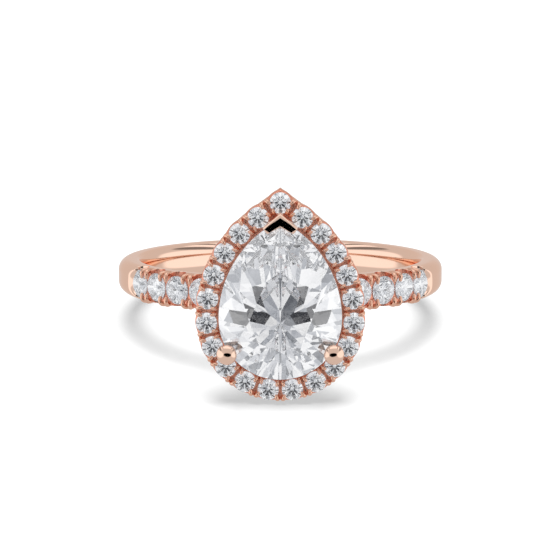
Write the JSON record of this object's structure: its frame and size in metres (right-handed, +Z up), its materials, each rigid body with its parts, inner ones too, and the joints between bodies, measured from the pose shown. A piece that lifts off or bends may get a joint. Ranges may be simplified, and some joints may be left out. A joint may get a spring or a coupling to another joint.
{
  "type": "engagement ring",
  "caption": "Halo engagement ring: a pear-cut centre stone in a V claw and round claws, a halo of small brilliants, and a shank set with brilliants down both shoulders.",
  "frame": {"origin": "centre of the finger bore, on its axis and midway along its width", "axes": "+Z up from the table the ring lies on, the stone-set head towards -Y, +X to the right as seen facing the head; the bore's axis leans back from +Z towards +Y because the ring rests on the halo's round end and the back of the shank"},
  "size_m": [0.0204, 0.0257, 0.0122],
  "materials": {
    "rose_gold": "polished rose gold",
    "centre_diamond": "faceted and polished",
    "side_diamond": "faceted and polished"
  },
  "bodies": {
    "root": {"shank": "rose_gold", "gallery_saddle": "rose_gold", "gallery_wire": "rose_gold", "halo_plate": "rose_gold", "halo_prongs_outer": "rose_gold", "halo_prongs_inner": "rose_gold", "shoulder_prongs_left": "rose_gold", "shoulder_prongs_right": "rose_gold", "claw_left": "rose_gold", "claw_right": "rose_gold", "v_claw": "rose_gold", "gallery_post_bottom": "rose_gold", "gallery_post_left_1": "rose_gold", "gallery_post_left_2": "rose_gold", "gallery_post_right_1": "rose_gold", "gallery_post_right_2": "rose_gold", "centre_stone": "centre_diamond", "halo_stone_tip": "side_diamond", "shoulder_stone_left_1": "side_diamond", "shoulder_stone_left_2": "side_diamond", "shoulder_stone_left_3": "side_diamond", "shoulder_stone_left_4": "side_diamond", "shoulder_stone_left_5": "side_diamond", "shoulder_stone_right_1": "side_diamond", "shoulder_stone_right_2": "side_diamond", "shoulder_stone_right_3": "side_diamond", "shoulder_stone_right_4": "side_diamond", "shoulder_stone_right_5": "side_diamond", "halo_stone_left_1": "side_diamond", "halo_stone_left_2": "side_diamond", "halo_stone_left_3": "side_diamond", "halo_stone_left_4": "side_diamond", "halo_stone_left_5": "side_diamond", "halo_stone_left_6": "side_diamond", "halo_stone_left_7": "side_diamond", "halo_stone_left_8": "side_diamond", "halo_stone_left_9": "side_diamond", "halo_stone_left_10": "side_diamond", "halo_stone_right_1": "side_diamond", "halo_stone_right_2": "side_diamond", "halo_stone_right_3": "side_diamond", "halo_stone_right_4": "side_diamond", "halo_stone_right_5": "side_diamond", "halo_stone_right_6": "side_diamond", "halo_stone_right_7": "side_diamond", "halo_stone_right_8": "side_diamond", "halo_stone_right_9": "side_diamond", "halo_stone_right_10": "side_diamond"}
  },
  "joints": []
}
